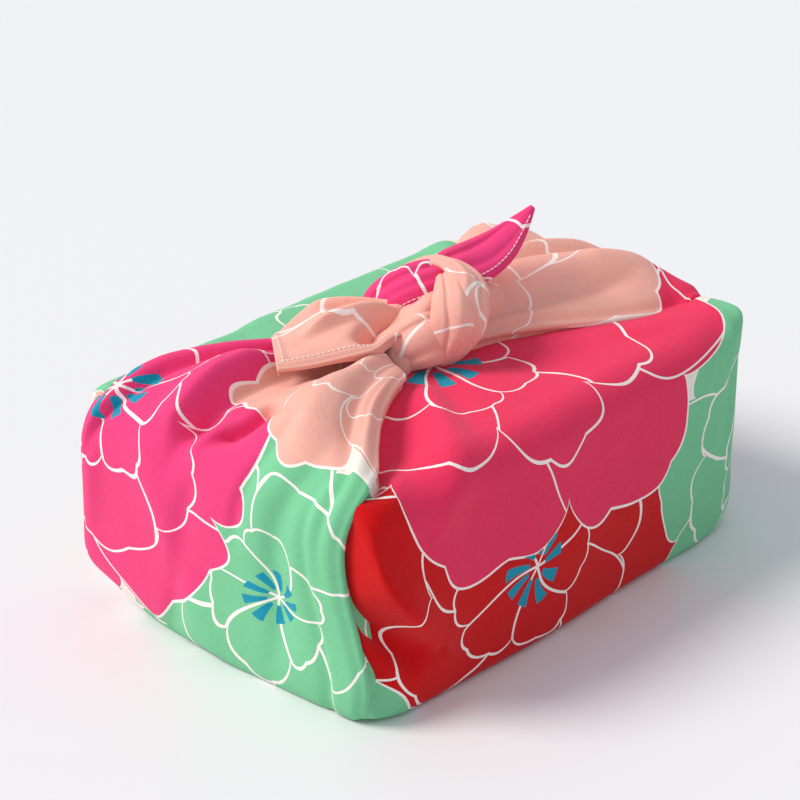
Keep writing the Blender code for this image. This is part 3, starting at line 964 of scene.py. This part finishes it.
def inner_lines(tree, place, petal_reach):
    """The outlines and seams of a blossom's petals, and its stamens."""
    half_line = sizes().line_width / 2
    parts = node(tree, "SeparateXYZ", place).outputs
    angle, far, kind = parts["X"], parts["Y"], parts["Z"]
    petals = node(tree, "Math.FLOOR", kind)
    radius = node(tree, "Math.FRACT", kind)
    rho = node(tree, "Math.DIVIDE", far, radius)
    marks = None
    for ring in RINGS:
        turned = node(tree, "Math.ADD", angle, ring.turn)
        reach = node(tree, "Group", named={"Angle": turned, "Petals": petals}, node_tree=petal_reach)
        edge = node(tree, "Math.SUBTRACT", rho, node(tree, "Math.MULTIPLY", reach, ring.size))
        within = node(tree, "Math.LESS_THAN", edge, 0.0)
        outline = node(tree, "Math.MULTIPLY", node(tree, "Math.ABSOLUTE", edge), radius)
        outline = node(tree, "Math.LESS_THAN", outline, half_line)
        inwards = node(tree, "Math.SUBTRACT", rho, ring.size * 0.8)
        bent = node(tree, "Math.MULTIPLY_ADD", inwards, ring.curl, turned)
        cell = node(tree, "Math.DIVIDE", node(tree, "Math.MULTIPLY", bent, petals), 2 * math.pi)
        cell = node(tree, "Math.FRACT", node(tree, "Math.ADD", cell, WHOLE_TURNS))
        side = node(tree, "Math.ABSOLUTE", node(tree, "Math.SUBTRACT", cell, 0.5))
        side = node(tree, "Math.MULTIPLY", node(tree, "Math.SUBTRACT", 0.5, side), 2 * math.pi)
        wide = node(tree, "Math.MULTIPLY", node(tree, "Math.DIVIDE", side, petals), far)
        lines = node(tree, "Math.MULTIPLY", within, node(tree, "Math.LESS_THAN", wide, half_line))
        if marks is None:
            marks = lines
        else:
            lines = node(tree, "Math.MAXIMUM", lines, outline)
            outside = node(tree, "Math.SUBTRACT", 1.0, within)
            marks = node(tree, "Math.MAXIMUM", node(tree, "Math.MULTIPLY", marks, outside), lines)
    spoke = node(tree, "Math.MULTIPLY", rho, STAMEN_BEND)
    spoke = node(tree, "Math.MULTIPLY_ADD", angle, STAMENS / (2 * math.pi), spoke)
    spoke = node(tree, "Math.FRACT", node(tree, "Math.ADD", spoke, WHOLE_TURNS))
    spoke = node(tree, "Math.ABSOLUTE", node(tree, "Math.SUBTRACT", spoke, 0.5))
    stamens = node(tree, "Math.LESS_THAN", spoke, STAMEN_WIDTH)
    stamens = node(tree, "Math.MULTIPLY", stamens, node(tree, "Math.LESS_THAN", rho, STAMEN_TIP))
    stamens = node(tree, "Math.MULTIPLY", stamens, node(tree, "Math.GREATER_THAN", rho, STAMEN_FOOT))
    return marks, stamens


# Hand-drawn shapes wander: how often, per metre, and how far, in metres.
WANDER_SCALE = 17.0
WANDER_REACH = 0.034


def unevenly_drawn(tree, cloth):
    """The place on the cloth, shifted a little here and there, as hand-drawn shapes are."""
    wander = node(tree, "TexNoise", named={"Vector": cloth, "Scale": WANDER_SCALE, "Detail": 1.0})
    middled = node(tree, "VectorMath.SUBTRACT", wander.outputs["Color"], (0.5, 0.5, 0.5))
    return node(tree, "VectorMath.MULTIPLY_ADD", middled, (WANDER_REACH, WANDER_REACH, 0.0), cloth)


def printed_colour(tree, cloth):
    """The print: blossoms one over the other on the undyed ground."""
    inks = colours()
    petal_reach = petal_reach_group()
    blossom = blossom_group(petal_reach)
    moved = unevenly_drawn(tree, cloth)
    colour, lines, place = (*inks.ground, 1.0), 0.0, (0.0, 1.0, 8.5)
    for spec in BLOSSOMS:
        values = {"Cloth": moved, "Middle": (spec.u * MM, spec.v * MM, 0.0), "Radius": spec.radius * MM}
        values |= {"Turn": math.radians(spec.turn), "Petals": spec.petals}
        flower = node(tree, "Group", named=values, node_tree=blossom).outputs
        inside = flower["Inside"]
        values = {FACTOR: inside, COLOUR_A: colour, COLOUR_B: (*getattr(inks, spec.ink), 1.0)}
        colour = node(tree, "Mix", named=values, data_type="RGBA").outputs[COLOUR_RESULT]
        values = {FACTOR: inside, PLACE_A: place, PLACE_B: flower["Place"]}
        place = node(tree, "Mix", named=values, data_type="VECTOR").outputs[PLACE_RESULT]
        kept = node(tree, "Math.MULTIPLY", lines, node(tree, "Math.SUBTRACT", 1.0, inside))
        lines = node(tree, "Math.MAXIMUM", kept, flower["Outline"])
    marks, stamens = inner_lines(tree, place, petal_reach)
    for drawn, ink in ((node(tree, "Math.MAXIMUM", lines, marks), inks.outline), (stamens, inks.stamen)):
        values = {FACTOR: drawn, COLOUR_A: colour, COLOUR_B: (*ink, 1.0)}
        colour = node(tree, "Mix", named=values, data_type="RGBA").outputs[COLOUR_RESULT]
    return colour


# The threads: how much longer than wide a slub is, how much slubs lighten them, and how much the threads'
# rounds are painted lighter than the hollows between them, a painted shade.
# They really lie about 0.45 mm apart, too fine to show here, so the weave is drawn coarser.
SLUB_LENGTH = 10.0
SLUB_SHADE = 0.09
ROUND_PAINTED_SHADE = 0.07
DARKEST = 0.87


def woven(tree, cloth):
    """The weave's height, and how light or dark its threads are: slubs, and painted shade in the hollows
    between the threads.
    """
    pitch = sizes().thread_pitch
    turned = node(tree, "Mapping", named={"Vector": cloth, "Rotation": (0, 0, math.radians(45))})
    narrow, long = 1 / pitch, 1 / (SLUB_LENGTH * pitch)
    heights, shades = [], []
    for direction, scale in (("X", (narrow, long, 1.0)), ("Y", (long, narrow, 1.0))):
        values = {"Vector": turned, "Scale": math.pi / (10 * pitch), "Distortion": 0.5, "Detail": 0.0}
        heights.append(node(tree, "TexWave", named=values, bands_direction=direction).outputs["Fac"])
        drawn_out = node(tree, "Mapping", named={"Vector": turned, "Scale": scale})
        values = {"Vector": drawn_out, "Scale": 0.8, "Detail": 1.0}
        shades.append(node(tree, "TexNoise", named=values).outputs["Fac"])
    height = node(tree, "Math.MAXIMUM", *heights)
    shade = node(tree, "Math.MULTIPLY_ADD", node(tree, "Math.ADD", *shades), SLUB_SHADE, DARKEST)
    # The threads' rounds are painted lighter than the hollows between them, by the weave's height: painted
    # shade.
    return height, node(tree, "Math.MULTIPLY_ADD", height, ROUND_PAINTED_SHADE, shade)


def printed_cotton():
    """Printed plain-woven cotton: matt, with slubby threads and a faint nap."""
    material = bpy.data.materials.new("printed_plain_weave")
    material.use_nodes = True
    tree = material.node_tree
    tree.nodes.clear()
    cloth = node(tree, "UVMap", uv_map="flat_cloth").outputs["UV"]
    height, shade = woven(tree, cloth)
    # The print is scaled by the slubs' tone and by the painted shade between the threads.
    shaded = node(tree, "VectorMath.SCALE", printed_colour(tree, cloth), named={"Scale": shade})
    weave = node(tree, "Bump", named={"Height": height, "Strength": 0.5, "Distance": 0.0002})
    nap = node(tree, "TexNoise", named={"Vector": cloth, "Scale": 420.0, "Detail": 2.0}).outputs["Fac"]
    values = {"Height": nap, "Strength": 0.3, "Distance": 0.0005, "Normal": weave}
    rough = node(tree, "Bump", named=values)
    values = {"Base Color": shaded, "Roughness": 0.85, "Specular IOR Level": 0.15}
    values |= {"Normal": rough, "Sheen Weight": 0.10, "Sheen Roughness": 0.5}
    node(tree, "OutputMaterial", named={"Surface": node(tree, "BsdfPrincipled", named=values)})
    return material


def sewing_thread():
    """Twisted cotton thread, paler than the cloth."""
    material = bpy.data.materials.new("cotton_thread")
    material.use_nodes = True
    shader = material.node_tree.nodes["Principled BSDF"]
    shader.inputs["Base Color"].default_value = (*colours().thread, 1.0)
    shader.inputs["Roughness"].default_value = 0.7
    return material


def cotton():
    return bpy.data.materials.get("printed_plain_weave") or printed_cotton()


def dressed(piece, material=None):
    """Gives a piece its material and its place in the frame."""
    piece.data.materials.append(material or cotton())
    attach(piece, "root")
    return piece


class WRAP_OT_box_cloth(bpy.types.Operator):
    """Fold the cloth round the box"""

    bl_idname = "wrap.box_cloth"
    bl_label = "Cloth round the box"

    def execute(self, context):
        piece = dressed(wrapped_box())
        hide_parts(NODE)
        return {"FINISHED"}


class WRAP_OT_end_cloths(bpy.types.Operator):
    """Draw the cloth up over the two short ends"""

    bl_idname = "wrap.end_cloths"
    bl_label = "Cloth over the ends"

    def execute(self, context):
        for sheet, rows in ((LEFT_CLOTH, LEFT_END), (RIGHT_CLOTH, RIGHT_END)):
            piece = dressed(folded(sheet, gathered_end(sheet.side, rows)))
        return {"FINISHED"}


class WRAP_OT_knot(bpy.types.Operator):
    """Tie the knot"""

    bl_idname = "wrap.knot"
    bl_label = "Knot"

    def execute(self, context):
        for turn in KNOT_BANDS:
            dressed(gathered_band(turn))
        return {"FINISHED"}


class WRAP_OT_corners(bpy.types.Operator):
    """Bring the cloth's left and right corners out of the knot"""

    bl_idname = "wrap.corners"
    bl_label = "Corners"

    def execute(self, context):
        left = dressed(folded(CORNER_CLOTH, hemmed_corner))
        dressed(gathered_band(TAIL_BAND))
        return {"FINISHED"}


class WRAP_OT_stitches(bpy.types.Operator):
    """Sew the hems of the corners that show"""

    bl_idname = "wrap.stitches"
    bl_label = "Hem stitches"

    def execute(self, context):
        thread = sewing_thread()
        seams = {"left_corner_stitches": corner_stitches, "right_corner_stitches": tail_stitches}
        for name, sew in seams.items():
            body = bmesh.new()
            sew(body)
            dressed(piece_from(name, body), thread)
        return {"FINISHED"}


class WRAP_OT_stage(bpy.types.Operator):
    """Set up the camera, the light and the pale floor"""

    bl_idname = "wrap.stage"
    bl_label = "Stage"

    def execute(self, context):
        camera()
        floor()
        lights()
        return {"FINISHED"}


# The camera at the photo's place, from a fit to its straight features. Angles are in degrees, the lens is in
# millimetres, and the rest is in metres.
AZIMUTH = -48.3
ELEVATION = 25.93
DISTANCE = 1.0458
LENS = 112.5
SIDE_SHIFT = -0.0123
UP_SHIFT = 0.0650


def camera():
    turn, rise = math.radians(AZIMUTH), math.radians(ELEVATION)
    back = Vector((math.sin(turn) * math.cos(rise), -math.cos(turn) * math.cos(rise), math.sin(rise)))
    right = Vector((math.cos(turn), math.sin(turn), 0))
    up = back.cross(right)
    eye = bpy.data.objects.new("camera", bpy.data.cameras.new("camera"))
    eye.data.lens = LENS
    eye.data.sensor_width = 36.0
    eye.data.clip_start = 0.05
    place = Matrix((right, up, back)).transposed().to_4x4()
    place.translation = back * DISTANCE + right * SIDE_SHIFT + up * UP_SHIFT
    eye.matrix_world = place
    bpy.context.collection.objects.link(eye)
    bpy.context.scene.camera = eye


def floor():
    """A pale flat sheet under the wrap."""
    body = bmesh.new()
    bmesh.ops.create_grid(body, x_segments=2, y_segments=2, size=3.0)
    sheet = piece_from("floor", body)
    sheet.location.z = -0.0002
    paper = bpy.data.materials.new("paper")
    paper.use_nodes = True
    shader = paper.node_tree.nodes["Principled BSDF"]
    shader.inputs["Base Color"].default_value = (*colours().floor, 1.0)
    shader.inputs["Roughness"].default_value = 0.6
    sheet.data.materials.append(paper)


# The window's light comes from behind and to the left, as wide as WINDOW_SPREAD degrees.
WINDOW_FROM = (-0.52, 0.44, 0.66)
WINDOW_STRENGTH = 2.62
WINDOW_SPREAD = 24
ROOM_STRENGTH = 0.64


def lights():
    data = bpy.data.lights.new("window", "SUN")
    data.energy = WINDOW_STRENGTH
    data.angle = math.radians(WINDOW_SPREAD)
    data.color = linear("#FFFBF5")
    lamp = bpy.data.objects.new("window", data)
    lamp.rotation_euler = Vector(WINDOW_FROM).to_track_quat("Z", "Y").to_euler()
    bpy.context.collection.objects.link(lamp)
    world = bpy.data.worlds.new("daylight")
    world.use_nodes = True
    shade = world.node_tree.nodes["Background"]
    shade.inputs["Color"].default_value = (*linear("#EDF2F9"), 1.0)
    shade.inputs["Strength"].default_value = ROOM_STRENGTH
    bpy.context.scene.world = world
    bpy.context.scene.view_settings.view_transform = "Standard"


class WRAP_PT_panel(bpy.types.Panel):
    """The wrap's sizes and colours, and its pieces"""

    bl_idname = "WRAP_PT_panel"
    bl_label = "Furoshiki wrap"
    bl_space_type = "VIEW_3D"
    bl_region_type = "UI"
    bl_category = "Furoshiki"

    def draw(self, context):
        for group_of_values in (context.scene.wrap_sizes, context.scene.wrap_colours):
            for name in group_of_values.__annotations__:
                self.layout.prop(group_of_values, name)
        for operator in OPERATORS:
            self.layout.operator(operator.bl_idname)


OPERATORS = (
    WRAP_OT_stage,
    WRAP_OT_box_cloth,
    WRAP_OT_end_cloths,
    WRAP_OT_knot,
    WRAP_OT_corners,
    WRAP_OT_stitches,
)
CLASSES = (WrapSizes, WrapColours, *OPERATORS, WRAP_PT_panel)


def register():
    for item in CLASSES:
        bpy.utils.register_class(item)
    bpy.types.Scene.wrap_sizes = bpy.props.PointerProperty(type=WrapSizes)
    bpy.types.Scene.wrap_colours = bpy.props.PointerProperty(type=WrapColours)


def unregister():
    del bpy.types.Scene.wrap_colours
    del bpy.types.Scene.wrap_sizes
    for item in reversed(CLASSES):
        bpy.utils.unregister_class(item)


def main():
    register()
    bpy.ops.wrap.stage()
    bpy.ops.wrap.box_cloth()
    bpy.ops.wrap.end_cloths()
    bpy.ops.wrap.knot()
    bpy.ops.wrap.corners()
    bpy.ops.wrap.stitches()


if __name__ == "__main__":
    main()
